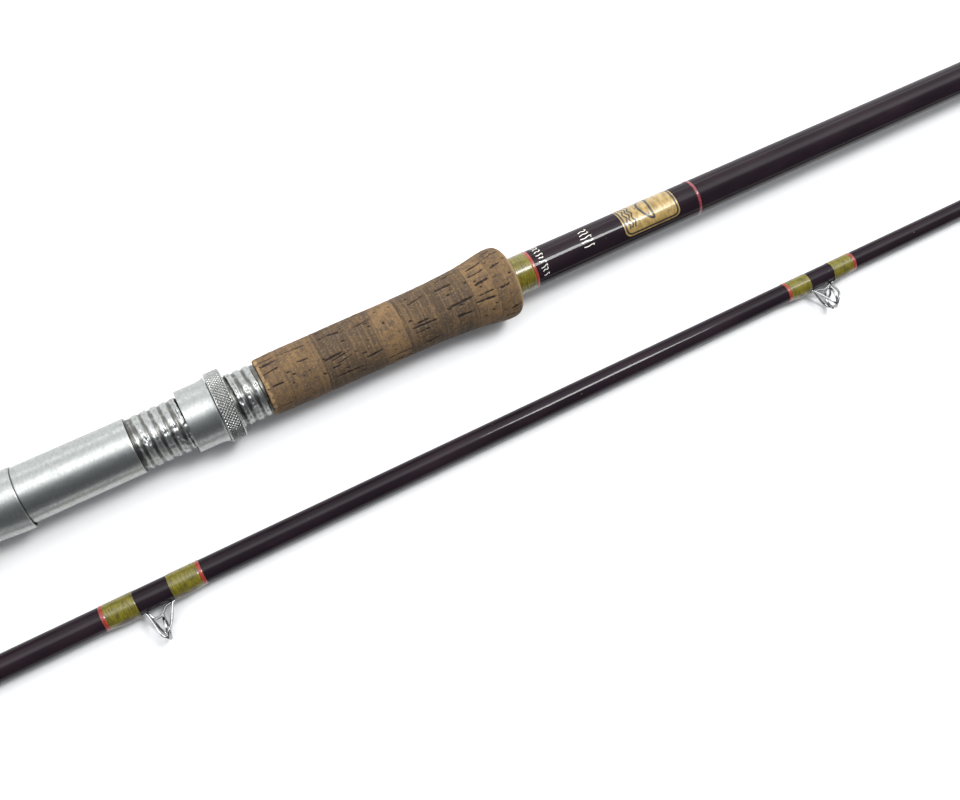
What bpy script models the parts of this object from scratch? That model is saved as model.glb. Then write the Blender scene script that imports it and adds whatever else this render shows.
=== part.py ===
"""A two-piece glass-fibre spinning rod, taken apart, its two sections lying side by side.

+X runs along both sections from the butt to the tip, +Z is up, and the sections lie on z = 0.
Named sizes are in millimetres. "Station" is a distance along X from the butt section's rear end.
"""

import math

import bmesh
import bpy
from mathutils import Matrix, Vector

MM = 0.001
NAME = "spinning_rod"

# The whole rod.
SECTION_LENGTH = 1450.0
TIP_START = 260.0  # station of the tip section's lower end, as it lies beside the butt section
SIDE_BY_SIDE = 53.7  # between the axes of the two sections
GAP = 0.3  # between pieces that touch
SKIN_GAP = 0.12  # under a thread winding or a transfer
FOOT_GAP = 0.18  # under a guide's foot

# Handle.
LARGEST_RADIUS = 15.0  # the butt button and the fore grip's flare, on which the section lies
BUTTON_END = 30.0
REAR_GRIP_END = 330.0
CORK_BORE_RADIUS = 8.05
SEAT_RADIUS = 11.1
SEAT_BORE_RADIUS = 9.2
HOOD_MOUTH = 351.8
HOOD_RADIUS = 11.6
HOOD_WALL = 0.8
HOOD_POCKET = 1.15
THREAD_START = 395.3
THREAD_PITCH = 3.7
THREAD_CREST_RADIUS = 10.75
THREAD_ROOT_RADIUS = 10.0
SEAT_END = 446.3
SLIDING_HOOD_START = 415.4
SLIDING_HOOD_RADIUS = 12.5
RING_START = 427.6
RING_END = 433.9
RING_RADIUS = 14.2
NUT_BORE_RADIUS = 11.6
FORE_GRIP_START = 446.6
FORE_GRIP_END = 554.6

# Blanks: outer radius along each section.
PARALLEL_END = 570.0
BUTT_RADIUS = 7.75
BUTT_TOP_RADIUS = 5.0
BLANK_START = 9.0  # inside the butt button
BLANK_WALL = 1.0
TIP_BASE_RADIUS = 5.13
TIP_CHANGE = 600.0  # distance from the lower end where the taper quickens
TIP_CHANGE_RADIUS = 3.7
TIP_TOP_RADIUS = 1.1
SPIGOT_RADIUS = 3.7
SPIGOT_SLIMMING = 0.25
SPIGOT_OUT = 60.0
SPIGOT_IN = 85.0
SOCKET_RADIUS = 3.95
SOCKET_DEPTH = 75.0
SOCKET_CONE = 6.0  # where the socket narrows to the tip section's own bore
TIP_BORE_SHARE = 0.45  # of the outer radius

# Windings, as stretches along their own section, and the transfer on the butt section.
GRIP_WINDING = (FORE_GRIP_END + GAP, 564.4)
RED_BAND = (641.3, 642.5)
SPIGOT_WINDING = (1431.0, 1449.0)
SOCKET_WINDING = (1.0, 23.0)
TIP_WINDING = (1421.7, 1433.7)
WINDING_THICKNESS = 0.2
LABEL_START = 605.6
LABEL_LENGTH = 26.4
LABEL_FROM = -95.0  # degrees from straight up, positive towards the guides
LABEL_TO = 40.0

SIDES = 24  # of everything turned on the butt section
TIP_SIDES = 16

# Line guides: station of the ring on the assembled rod, where that is in the free span between
# the windings (a share, from the rear), ring radius, how far the ring's outer end stands off the
# blank, free span, winding length, wire radius.
BUTT_GUIDES = {
    "butt_guide": (900.0, 0.46, 8.6, 20.0, 26.0, 17.0, 0.75),
    "second_guide": (1250.0, 0.46, 6.3, 17.0, 20.0, 15.0, 0.65),
}
TIP_GUIDES = {
    "third_guide": (1566.8, 0.46, 4.5, 12.7, 13.4, 13.2, 0.5),
    "fourth_guide": (1877.6, 0.68, 4.5, 10.9, 12.3, 11.9, 0.5),
    "fifth_guide": (2150.0, 0.46, 4.1, 10.4, 11.0, 10.0, 0.45),
    "sixth_guide": (2390.0, 0.46, 3.8, 9.6, 10.4, 9.5, 0.45),
    "seventh_guide": (2590.0, 0.46, 3.6, 9.0, 10.0, 9.0, 0.45),
    "eighth_guide": (2750.0, 0.46, 3.4, 8.6, 9.6, 9.0, 0.45),
}
RING_LEAN = math.radians(6.0)
RING_WALL = 0.85
RING_LENGTH_SHARE = 0.326  # of the ring's radius
RING_SIDES = 16
STRUT_GAP = 0.15  # from a strut to the ring that it passes
FOOT_SHOWN = 1.2  # of a foot, past the winding that binds it
FOOT_THICKNESS = 0.5
FOOT_HALF_WIDTH = 1.2
FOOT_SHARE = 0.75  # of the winding's length
BUTT_ROLL = math.radians(90.0)  # guides point to -Y
TIP_ROLL = math.radians(93.0)  # and on the tip section a little down, so the rings touch the table

TIP_TUBE = (1434.0, 1450.0)
TIP_TUBE_WALL = 0.45
TIP_RING_AT = 1447.5
TIP_RING_RADIUS = 3.3
TIP_RING_LENGTH = 1.2
TIP_RING_RISE = 1.4  # from the tube to the ring
TIP_WIRE_RADIUS = 0.4

TOTAL_LENGTH = TIP_START + SECTION_LENGTH
BUTT_Z = LARGEST_RADIUS
TIP_Z = 6.3
GUIDE_REACH = 17.97  # from the tip section's axis to the third guide's outer end
BUTT_Y = (SIDE_BY_SIDE + GUIDE_REACH - LARGEST_RADIUS) / 2
TIP_Y = BUTT_Y - SIDE_BY_SIDE
REAR_X = -TOTAL_LENGTH / 2

COLOURS = {
    "rubber": ((0.03, 0.03, 0.03), 0.8, 0.0),
    "cork": ((0.33, 0.19, 0.10), 0.85, 0.0),
    "aluminium": ((0.62, 0.64, 0.63), 0.4, 1.0),
    "fibre": ((0.25, 0.18, 0.1), 0.7, 0.0),
    "blank": ((0.035, 0.014, 0.022), 0.12, 0.0),
    "thread": ((0.36, 0.32, 0.06), 0.25, 0.0),
    "red_thread": ((0.6, 0.07, 0.04), 0.25, 0.0),
    "chrome": ((0.75, 0.76, 0.77), 0.15, 1.0),
    "transfer": ((0.55, 0.40, 0.15), 0.35, 0.6),
}


def clear_scene():
    for item in list(bpy.data.objects):
        bpy.data.objects.remove(item, do_unlink=True)


def new_collection(name):
    made = bpy.data.collections.new(name)
    bpy.context.scene.collection.children.link(made)
    return made


def material(name, kind):
    """A Principled material of the named kind, one for each sub-part."""
    colour, roughness, metallic = COLOURS[kind]
    made = bpy.data.materials.new(name)
    made.use_nodes = True
    shader = made.node_tree.nodes["Principled BSDF"]
    shader.inputs["Base Color"].default_value = (*colour, 1.0)
    shader.inputs["Roughness"].default_value = roughness
    shader.inputs["Metallic"].default_value = metallic
    return made


def add_object(name, mesh, kind, parent):
    """Puts a mesh drawn about a section's axis in the scene, carried by that section's empty."""
    made = bpy.data.objects.new(name, mesh)
    parts.objects.link(made)
    mesh.materials.append(material(name, kind))
    mesh.shade_smooth()
    mesh.set_sharp_from_angle(angle=math.radians(35))
    made.parent = parent
    return made


def turned(name, profile, kind, parent, sides=SIDES):
    """Turns an outline of (station, radius) points, outer side first, about the section's axis."""
    mesh = bpy.data.meshes.new(name)
    points = [(x * MM, 0.0, r * MM) for x, r in reversed(profile)]
    ends = [(i, i + 1) for i in range(len(points) - 1)]
    if profile[0][1] > 0.0:
        ends.append((len(points) - 1, 0))
    mesh.from_pydata(points, ends, [])
    made = add_object(name, mesh, kind, parent)
    screw = made.modifiers.new("turn", "SCREW")
    screw.axis = "X"
    screw.steps = screw.render_steps = sides
    screw.use_merge_vertices = True
    screw.merge_threshold = 0.00001
    return made


def tube_outline(stations, outer, inner):
    """The closed outline of a tube, from its outer and inner radius as functions of station."""
    out = [(x, outer(x)) for x in stations]
    back = [(x, inner(x)) for x in reversed(stations)]
    return out + back


def sleeve(name, stations, inner, outer, kind, parent, sides):
    """A sleeve whose inner and outer radius depend on station and angle about the axis."""
    shape = bmesh.new()
    rings = []
    for radius, along in ((outer, stations), (inner, list(reversed(stations)))):
        for x in along:
            ring = []
            for i in range(sides):
                angle = 2 * math.pi * i / sides
                r = radius(x, angle)
                ring.append(
                    shape.verts.new(
                        (x * MM, -r * math.sin(angle) * MM, r * math.cos(angle) * MM)
                    )
                )
            rings.append(ring)
    for near, far in zip(rings, rings[1:] + rings[:1]):
        for i in range(sides):
            j = (i + 1) % sides
            shape.faces.new((near[i], near[j], far[j], far[i]))
    bmesh.ops.recalc_face_normals(shape, faces=shape.faces)
    mesh = bpy.data.meshes.new(name)
    shape.to_mesh(mesh)
    shape.free()
    return add_object(name, mesh, kind, parent)


def smooth_step(value):
    value = min(max(value, 0.0), 1.0)
    return value * value * (3 - 2 * value)


def butt_radius(x):
    """The butt section's outer radius at a station."""
    share = max(x - PARALLEL_END, 0.0) / (SECTION_LENGTH - PARALLEL_END)
    return BUTT_RADIUS + (BUTT_TOP_RADIUS - BUTT_RADIUS) * share


def tip_radius(t):
    """The tip section's outer radius at a distance from its lower end."""
    if t < TIP_CHANGE:
        share = t / TIP_CHANGE
        return TIP_BASE_RADIUS + (TIP_CHANGE_RADIUS - TIP_BASE_RADIUS) * share
    share = (t - TIP_CHANGE) / (SECTION_LENGTH - TIP_CHANGE)
    return TIP_CHANGE_RADIUS + (TIP_TOP_RADIUS - TIP_CHANGE_RADIUS) * share


def side_hump(angle, roll, half_width):
    """1 in the direction that the guides point, falling to 0 at half_width on either side."""
    away = abs((angle - roll + math.pi) % (2 * math.pi) - math.pi)
    return smooth_step(1.0 - away / half_width)


def make_blanks():
    step = (SECTION_LENGTH - PARALLEL_END) / 6
    stations = [BLANK_START, PARALLEL_END] + [PARALLEL_END + step * (i + 1) for i in range(6)]
    turned(
        "butt_blank",
        tube_outline(stations, butt_radius, lambda x: butt_radius(x) - BLANK_WALL),
        "blank",
        butt,
    )
    cone_end = SOCKET_DEPTH + SOCKET_CONE
    along = [cone_end + (TIP_CHANGE - cone_end) * i / 3 for i in range(3)]
    along += [TIP_CHANGE + (SECTION_LENGTH - TIP_CHANGE) * i / 5 for i in range(6)]
    outline = [(0.0, tip_radius(0.0))] + [(t, tip_radius(t)) for t in along]
    outline += [(t, TIP_BORE_SHARE * tip_radius(t)) for t in reversed(along)]
    outline += [(SOCKET_DEPTH, SOCKET_RADIUS), (0.0, SOCKET_RADIUS)]
    turned("tip_blank", outline, "blank", tip, TIP_SIDES)


def make_spigot():
    """The glass-fibre spigot glued into the top of the butt section."""
    end = SECTION_LENGTH + SPIGOT_OUT
    start = SECTION_LENGTH - SPIGOT_IN
    slim = SPIGOT_RADIUS - SPIGOT_SLIMMING
    outline = [(start, 0.0), (start, SPIGOT_RADIUS - 0.1), (SECTION_LENGTH, SPIGOT_RADIUS)]
    outline += [(end - 1.0, slim), (end, slim - 0.6), (end, 0.0)]
    turned("spigot", outline, "blank", butt)


def make_butt_button():
    """The rubber button: a cup over the end of the blank."""
    r = LARGEST_RADIUS
    floor = BLANK_START - GAP
    outline = [(0.0, 0.0), (0.0, r - 3.5), (1.0, r - 1.4), (3.5, r), (BUTTON_END - 4.0, r)]
    outline += [(BUTTON_END - 0.5, r - 0.9), (BUTTON_END, r - 1.5), (BUTTON_END, CORK_BORE_RADIUS)]
    outline += [(floor, CORK_BORE_RADIUS), (floor, 0.0)]
    turned("butt_button", outline, "rubber", butt)


def make_grips():
    start = BUTTON_END + GAP
    end = REAR_GRIP_END
    outline = [(start, 13.4), (start + 40, 13.2), (200.0, 12.5), (end - 12, 12.2), (end, 11.7)]
    outline += [(end, CORK_BORE_RADIUS), (start, CORK_BORE_RADIUS)]
    turned("rear_grip", outline, "cork", butt)
    # Distance from the rear face and diameter: a slight waist, then a flare with a round front.
    shape = [(0.0, 22.8), (4.0, 23.2), (22.0, 23.6), (58.0, 23.8), (74.0, 24.2), (82.5, 25.1)]
    shape += [(88.7, 26.1), (94.9, 28.0), (99.1, 29.5), (102.4, 2 * LARGEST_RADIUS)]
    shape += [(105.2, 29.4), (107.0, 26.4), (108.0, 21.0)]
    outline = [(FORE_GRIP_START + x, d / 2) for x, d in shape]
    outline += [(FORE_GRIP_END, CORK_BORE_RADIUS), (FORE_GRIP_START, CORK_BORE_RADIUS)]
    turned("fore_grip", outline, "cork", butt)


def make_reel_seat():
    start = REAR_GRIP_END + GAP
    turned(
        "reel_seat_arbor",
        tube_outline(
            [start, SEAT_END],
            lambda x: SEAT_BORE_RADIUS - GAP,
            lambda x: CORK_BORE_RADIUS,
        ),
        "fibre",
        butt,
    )
    # A step under the fixed hood, the smooth barrel, the seam, then rounded thread ridges.
    under_hood = HOOD_RADIUS - HOOD_WALL - GAP
    outline = [(start, under_hood), (HOOD_MOUTH + 0.2, under_hood), (HOOD_MOUTH + 0.4, SEAT_RADIUS)]
    outline += [(THREAD_START - 0.6, SEAT_RADIUS), (THREAD_START - 0.2, SEAT_RADIUS - 0.4)]
    outline += [(THREAD_START + 0.2, THREAD_ROOT_RADIUS)]
    ridges = int((SEAT_END - THREAD_START) / THREAD_PITCH)
    for i in range(ridges):
        foot = THREAD_START + 0.8 + i * THREAD_PITCH
        outline.append((foot + 0.4 * THREAD_PITCH, THREAD_CREST_RADIUS))
        outline.append((foot + 0.9 * THREAD_PITCH, THREAD_ROOT_RADIUS))
    outline += [(SEAT_END, THREAD_ROOT_RADIUS)]
    outline += [(SEAT_END, SEAT_BORE_RADIUS), (start, SEAT_BORE_RADIUS)]
    turned("reel_seat_barrel", outline, "aluminium", butt)

    def pocket(x, angle):
        rise = smooth_step((x - start) / (HOOD_MOUTH - start))
        return HOOD_POCKET * rise * side_hump(angle, BUTT_ROLL, math.radians(62))

    step = (HOOD_MOUTH - start) / 4
    sleeve(
        "fixed_hood",
        [start + step * i for i in range(5)],
        lambda x, a: HOOD_RADIUS - HOOD_WALL + pocket(x, a),
        lambda x, a: HOOD_RADIUS + pocket(x, a),
        "aluminium",
        butt,
        SIDES,
    )


def make_locking_ring():
    """The sliding hood and the knurled ring that screws it against the reel's foot."""
    r = SLIDING_HOOD_RADIUS
    end = RING_START - GAP / 2
    outline = [(SLIDING_HOOD_START, r), (RING_START - 5.0, r + 0.05), (RING_START - 3.0, r + 0.35)]
    outline += [(RING_START - 1.2, r + 0.95), (end, r + 1.1)]
    outline += [(end, NUT_BORE_RADIUS), (SLIDING_HOOD_START, NUT_BORE_RADIUS)]
    turned("sliding_hood", outline, "aluminium", butt)
    chamfer = 0.45
    start = RING_START + GAP / 2
    outline = [(start, RING_RADIUS - chamfer), (start + chamfer, RING_RADIUS)]
    outline += [(RING_END - chamfer, RING_RADIUS), (RING_END, RING_RADIUS - chamfer)]
    outline += [(RING_END, NUT_BORE_RADIUS), (start, NUT_BORE_RADIUS)]
    turned("locking_ring", outline, "aluminium", butt)


def make_band(name, stretch, radius, kind, parent, sides):
    """A thin winding round a plain stretch of blank."""
    outline = tube_outline(
        stretch,
        lambda x: radius(x) + SKIN_GAP + WINDING_THICKNESS,
        lambda x: radius(x) + SKIN_GAP,
    )
    turned(name, outline, kind, parent, sides)


def make_label():
    """The transfer: a thin patch from the blank's top edge down past the middle of its near side."""
    first, last = math.radians(LABEL_FROM), math.radians(LABEL_TO)
    columns = 8
    shape = bmesh.new()
    grid = {}
    for layer, lift in enumerate((SKIN_GAP, SKIN_GAP + WINDING_THICKNESS)):
        for end in (0, 1):
            x = LABEL_START + LABEL_LENGTH * end
            for i in range(columns + 1):
                angle = first + (last - first) * i / columns
                r = (butt_radius(x) + lift) / math.cos((last - first) / columns / 2)
                place = (x * MM, -r * math.sin(angle) * MM, r * math.cos(angle) * MM)
                grid[layer, end, i] = shape.verts.new(place)
    for i in range(columns):
        for layer in (0, 1):
            near, far = grid[layer, 0, i], grid[layer, 1, i]
            shape.faces.new((near, grid[layer, 0, i + 1], grid[layer, 1, i + 1], far))
        for end in (0, 1):
            low, high = grid[0, end, i], grid[1, end, i]
            shape.faces.new((low, grid[0, end, i + 1], grid[1, end, i + 1], high))
    for i in (0, columns):
        shape.faces.new((grid[0, 0, i], grid[0, 1, i], grid[1, 1, i], grid[1, 0, i]))
    bmesh.ops.recalc_face_normals(shape, faces=shape.faces)
    mesh = bpy.data.meshes.new("label")
    shape.to_mesh(mesh)
    shape.free()
    add_object("label", mesh, "transfer", butt)


def wire(name, points, radius):
    """A wire through the points, as a closed mesh in the cutters' collection."""
    data = bpy.data.curves.new(name, "CURVE")
    data.dimensions = "3D"
    data.bevel_depth = radius * MM
    data.bevel_resolution = 0
    data.use_fill_caps = True
    line = data.splines.new("POLY")
    line.points.add(len(points) - 1)
    for point, place in zip(line.points, points):
        point.co = (*(Vector(place) * MM), 1.0)
    curve = bpy.data.objects.new(name, data)
    cutters.objects.link(curve)
    bpy.context.view_layer.update()
    graph = bpy.context.evaluated_depsgraph_get()
    mesh = bpy.data.meshes.new_from_object(curve.evaluated_get(graph))
    welded = bmesh.new()
    welded.from_mesh(mesh)
    bmesh.ops.remove_doubles(welded, verts=welded.verts, dist=0.000001)
    bmesh.ops.recalc_face_normals(welded, faces=welded.faces)
    welded.to_mesh(mesh)
    welded.free()
    made = bpy.data.objects.new(name, mesh)
    cutters.objects.link(made)
    bpy.data.objects.remove(curve, do_unlink=True)
    return made


def foot(name, start, end, height):
    """A flattened foot, thinned and narrowed towards the end that lies under the winding."""
    shape = bmesh.new()
    bmesh.ops.create_cube(shape, size=1.0)
    for vert in shape.verts:
        inner = vert.co.x > 0
        x = end if inner else start
        width = FOOT_HALF_WIDTH * (1.0 if inner else 0.6)
        thick = FOOT_THICKNESS * (1.0 if inner or vert.co.z < 0 else 0.5)
        z = height + (thick if vert.co.z > 0 else 0.0)
        vert.co = Vector((x, 2 * vert.co.y * width, z)) * MM
    if end < start:
        bmesh.ops.reverse_faces(shape, faces=shape.faces)
    mesh = bpy.data.meshes.new(name)
    shape.to_mesh(mesh)
    shape.free()
    made = bpy.data.objects.new(name, mesh)
    cutters.objects.link(made)
    return made


def join(target, others):
    for other in others:
        union = target.modifiers.new(other.name, "BOOLEAN")
        union.operation = "UNION"
        union.solver = "MANIFOLD"  # EXACT leaves open edges where these thin wires cross
        union.object = other


def guide_windings(name, first, last, length, radius, roll, parent, sides):
    """The windings over a guide's two feet, each with a hump over its foot."""
    for label, inner, outward in (("rear", first, -1), ("front", last, 1)):

        def hump(x, angle, inner=inner, outward=outward):
            under = (x - inner) * outward / length
            fade = 1.0 - smooth_step((under - FOOT_SHARE) / (1.0 - FOOT_SHARE))
            high = FOOT_THICKNESS + 2 * GAP
            return high * fade * side_hump(angle, roll, math.radians(70))

        sleeve(
            f"{name}_{label}_winding",
            sorted(inner + outward * length * i / 3 for i in range(4)),
            lambda x, a, hump=hump: radius(x) + SKIN_GAP + hump(x, a),
            lambda x, a, hump=hump: radius(x) + SKIN_GAP + WINDING_THICKNESS + hump(x, a),
            "thread",
            parent,
            sides,
        )


def make_guide(name, station, size, radius, roll, parent, sides):
    """A bridge guide: a ring held off the blank by two feet, four struts and a U-shaped cradle."""
    share, ring_radius, stand_off, span, length, wire_radius = size
    first = station - share * span
    last = first + span
    surface = radius(station)
    height = surface + stand_off - ring_radius  # of the ring's centre above the axis
    low = surface + FOOT_GAP
    seat = low + wire_radius
    # Ring: turned about X, then leaned back a little and moved out to its place.
    bore = ring_radius - RING_WALL
    half = RING_LENGTH_SHARE * ring_radius / 2
    profile = [(-half, ring_radius), (half, ring_radius), (half, bore), (-half, bore)]
    ring = turned(f"{name}_ring", profile, "chrome", parent, RING_SIDES)
    place = Matrix.Rotation(roll, 4, "X") @ Matrix.Translation(Vector((0, 0, height)) * MM)
    ring.matrix_local = (
        Matrix.Translation((station * MM, 0, 0)) @ place @ Matrix.Rotation(-RING_LEAN, 4, "Y")
    )
    # Frame, drawn with the ring's station at x = 0 and the guide pointing up.
    rear, front = first - station + FOOT_SHOWN, last - station - FOOT_SHOWN
    clear = ring_radius + wire_radius + STRUT_GAP
    beside = half + wire_radius + STRUT_GAP
    lean = math.sin(RING_LEAN)

    def rim(side, degrees, along, reach):
        """A point by the ring's rim, at an angle from its outer end."""
        out = reach * math.cos(math.radians(degrees))
        return along - lean * out, side * reach * math.sin(math.radians(degrees)), height + out

    outline = []
    for side in (-1, 1):
        path = [(rear - 0.6, side * 0.5, seat), (rear + 0.6, side * 0.6, seat + 0.2)]
        path += [rim(side, 78, -beside - 0.35 * ring_radius, 0.8 * clear)]
        path += [rim(side, 50, -beside, clear), rim(side, 30, 0.0, clear)]
        outline.append(path)
        path = [(front + 0.6, side * 0.5, seat), (front - 0.5, side * 0.6, seat + 0.2)]
        path += [rim(side, 110, beside + 0.3 * ring_radius, 0.75 * clear)]
        path += [rim(side, 82, beside, clear), rim(side, 62, 0.0, clear)]
        outline.append(path)
    under = height - clear - 0.2
    peak = height - 0.95 * ring_radius - 0.25
    cradle = [(rear - 0.6, 0.0, seat), (rear + 0.8, 0.0, seat + 0.3)]
    cradle += [(-0.25 * span, 0.0, seat + 0.6 * (peak - seat)), (-0.14 * span, 0.0, peak)]
    cradle += [(0.02 * span, 0.0, under), (0.13 * span, 0.0, seat + 0.55 * (under - seat))]
    cradle += [(0.24 * span, 0.0, seat + 0.4), (front + 0.6, 0.0, seat)]
    outline.append(cradle)
    reach = FOOT_SHARE * length
    pieces = [foot(f"{name}_front_foot", front + reach, front - 0.4, low)]
    pieces += [wire(f"{name}_wire_{i}", path, wire_radius) for i, path in enumerate(outline)]
    body = foot(f"{name}_frame", rear - reach, rear + 0.4, low)
    cutters.objects.unlink(body)
    parts.objects.link(body)
    body.data.materials.append(material(f"{name}_frame", "chrome"))
    for item in (body, *pieces):
        item.parent = parent
        item.matrix_local = Matrix.Translation((station * MM, 0, 0)) @ Matrix.Rotation(
            roll, 4, "X"
        )
    join(body, pieces)
    guide_windings(name, first, last, length, radius, roll, parent, sides)


def make_tip_top():
    """The tip-top: a tube over the end of the tip section and the ring that it carries."""
    start, end = TIP_TUBE
    inner = tip_radius(start) + GAP
    outer = inner + TIP_TUBE_WALL
    outline = [(start, outer), (end, outer), (end, inner), (start, inner)]
    tube = turned("tip_top_tube", outline, "chrome", tip, TIP_SIDES)
    height = outer + TIP_RING_RADIUS + TIP_RING_RISE
    bore = TIP_RING_RADIUS - RING_WALL
    half = TIP_RING_LENGTH / 2
    profile = [(-half, TIP_RING_RADIUS), (half, TIP_RING_RADIUS), (half, bore), (-half, bore)]
    ring = turned("tip_top_ring", profile, "chrome", tip, RING_SIDES)
    turn = Matrix.Rotation(TIP_ROLL, 4, "X")
    ring.matrix_local = Matrix.Translation((TIP_RING_AT * MM, 0, 0)) @ turn @ Matrix.Translation(
        (0, 0, height * MM)
    )
    # The wires start half sunk in the tube's wall, and pass or meet the ring just clear of it.
    seat = outer - 0.2
    clear = TIP_RING_RADIUS + TIP_WIRE_RADIUS + STRUT_GAP
    arms = []
    for side in (-1, 1):
        angle = math.radians(100)
        path = [(start + 2.0, side * 0.7, seat), (start + 5.0, side * 1.0, seat + 1.0)]
        path += [(TIP_RING_AT - 2.5, side * 0.98 * clear, height - 0.4)]
        path += [(TIP_RING_AT, side * clear * math.sin(angle), height + clear * math.cos(angle))]
        arms.append(wire(f"tip_top_arm_{side + 1}", path, TIP_WIRE_RADIUS))
    under = height - clear
    path = [(start + 4.0, 0.0, seat), (TIP_RING_AT - 1.5, 0.0, seat + 0.3)]
    path += [(TIP_RING_AT + 0.4, 0.0, under), (end - 1.0, 0.0, seat)]
    arms.append(wire("tip_top_brace", path, TIP_WIRE_RADIUS))
    for arm in arms:
        arm.parent = tip
        arm.matrix_local = turn
    join(tube, arms)


def section_empty(name, x, y, z):
    made = bpy.data.objects.new(name, None)
    parts.objects.link(made)
    made.location = (x * MM, y * MM, z * MM)
    return made


clear_scene()
parts = new_collection(NAME)
cutters = new_collection(NAME + "_tools")
butt = section_empty("butt_section", REAR_X, BUTT_Y, BUTT_Z)
tip = section_empty("tip_section", REAR_X + TIP_START, TIP_Y, TIP_Z)

make_blanks()
make_spigot()
make_butt_button()
make_grips()
make_reel_seat()
make_locking_ring()
make_band("grip_winding", GRIP_WINDING, butt_radius, "thread", butt, SIDES)
make_band("red_band", RED_BAND, butt_radius, "red_thread", butt, SIDES)
make_band("spigot_winding", SPIGOT_WINDING, butt_radius, "thread", butt, SIDES)
make_band("socket_winding", SOCKET_WINDING, tip_radius, "thread", tip, TIP_SIDES)
make_band("tip_winding", TIP_WINDING, tip_radius, "thread", tip, TIP_SIDES)
make_label()
for guide_name, (place, *guide_size) in BUTT_GUIDES.items():
    make_guide(guide_name, place, guide_size, butt_radius, BUTT_ROLL, butt, SIDES)
for guide_name, (place, *guide_size) in TIP_GUIDES.items():
    make_guide(
        guide_name, place - SECTION_LENGTH, guide_size, tip_radius, TIP_ROLL, tip, TIP_SIDES
    )
make_tip_top()
for helper in cutters.objects:
    helper.hide_render = True
    helper.display_type = "WIRE"
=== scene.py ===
"""The looks of the spinning rod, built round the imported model.

Shapes are drawn in millimetres about a section's own axis, with x measured from that section's
rear end. An angle about the axis is 0 straight up and grows towards -Y, where the guides point.
"""

import math

import bpy
import numpy as np
from mathutils import Matrix, Vector


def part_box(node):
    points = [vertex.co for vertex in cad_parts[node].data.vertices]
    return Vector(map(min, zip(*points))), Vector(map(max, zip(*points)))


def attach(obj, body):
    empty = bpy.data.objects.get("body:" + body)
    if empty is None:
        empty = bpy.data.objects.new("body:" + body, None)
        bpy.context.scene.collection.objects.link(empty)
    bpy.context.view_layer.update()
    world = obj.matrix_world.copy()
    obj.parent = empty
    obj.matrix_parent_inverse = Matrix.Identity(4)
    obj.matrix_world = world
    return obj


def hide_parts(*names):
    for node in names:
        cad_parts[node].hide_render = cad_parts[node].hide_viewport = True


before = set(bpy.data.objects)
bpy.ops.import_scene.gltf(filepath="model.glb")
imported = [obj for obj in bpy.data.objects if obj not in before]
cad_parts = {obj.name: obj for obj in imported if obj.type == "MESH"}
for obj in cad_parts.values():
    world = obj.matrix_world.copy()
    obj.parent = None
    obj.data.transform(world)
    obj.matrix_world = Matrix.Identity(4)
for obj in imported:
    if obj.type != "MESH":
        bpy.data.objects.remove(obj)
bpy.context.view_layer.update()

MM = 0.001
TURN = 2 * math.pi


# ---------------------------------------------------------------- places, read from the frame


def axis_start(node):
    """The rear end of a node, on its axis."""
    low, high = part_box(node)
    return Vector((low.x, (low.y + high.y) / 2, (low.z + high.z) / 2))


BUTT, TIP = "butt_section", "tip_section"
SECTIONS = {BUTT: axis_start("butt_button"), TIP: axis_start("tip_blank")}
GUIDES = {
    BUTT: ("butt_guide", "second_guide"),
    TIP: ("third_guide", "fourth_guide", "fifth_guide", "sixth_guide", "seventh_guide",
          "eighth_guide"),
}
GUIDE_ROLL = {BUTT: math.radians(90), TIP: math.radians(93)}


def stretch_of(node, section):
    """Where a node starts and ends along its section, in millimetres."""
    low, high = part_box(node)
    origin = SECTIONS[section].x
    return (low.x - origin) / MM, (high.x - origin) / MM


def radius_of(node):
    """The largest radius of a turned node, in millimetres."""
    low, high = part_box(node)
    return (high.z - low.z) / 2 / MM


SECTION_LENGTH = stretch_of("tip_blank", TIP)[1]
BLANKS = {
    BUTT: ((0.0, 570.0, SECTION_LENGTH), (radius_of("butt_blank"),) * 2 + (5.0,)),
    TIP: ((0.0, 600.0, SECTION_LENGTH), (5.13, 3.7, 1.1)),
}
CORK_BORE = 8.05
SOCKET_BORE = 3.95


def blank_radius(section, x):
    """The blank's outer radius at x."""
    return np.interp(x, *BLANKS[section])


# ---------------------------------------------------------------- noise and shapes


def smooth(value):
    """From 0 to 1 along an S-shaped curve, held at both ends."""
    value = np.clip(value, 0, 1)
    return value * value * (3 - 2 * value)


def lattice_noise(rows, columns, seed):
    """Smooth noise from 0 to 1 at lattice places; the columns close on themselves."""
    chance = np.random.default_rng(seed)
    height, width = int(rows.max()) + 2, max(int(math.ceil(columns.max())), 1)
    values = chance.random((height, width))
    low_row, low_column = np.floor(rows).astype(int), np.floor(columns).astype(int)
    along, across = smooth(rows - low_row), smooth(columns - low_column)
    first, second = low_column % width, (low_column + 1) % width
    near = values[low_row, first] * (1 - across) + values[low_row, second] * across
    far = values[low_row + 1, first] * (1 - across) + values[low_row + 1, second] * across
    return near * (1 - along) + far * along


def surface_noise(x, angle, radius, cell, seed, stretch=1.0, octaves=3):
    """Layered noise on a turned surface. cell is the largest feature's size round the axis."""
    total, weight = 0.0, 0.0
    for octave in range(octaves):
        size = cell / 2**octave
        count = max(int(round(TURN * radius / size)), 4)
        rows = (x - x.min()) / (size * stretch)
        share = 0.5**octave
        total = total + share * lattice_noise(rows, angle / TURN * count, seed + octave)
        weight += share
    return total / weight


def grid(xs, sides):
    """The x and angle of each point of a turned surface, as two arrays."""
    return np.meshgrid(np.asarray(xs, float), np.arange(sides) * TURN / sides, indexing="ij")


def apart(angle, middle):
    """The turn from middle to angle, the short way round."""
    return (angle - middle + math.pi) % TURN - math.pi


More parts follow.
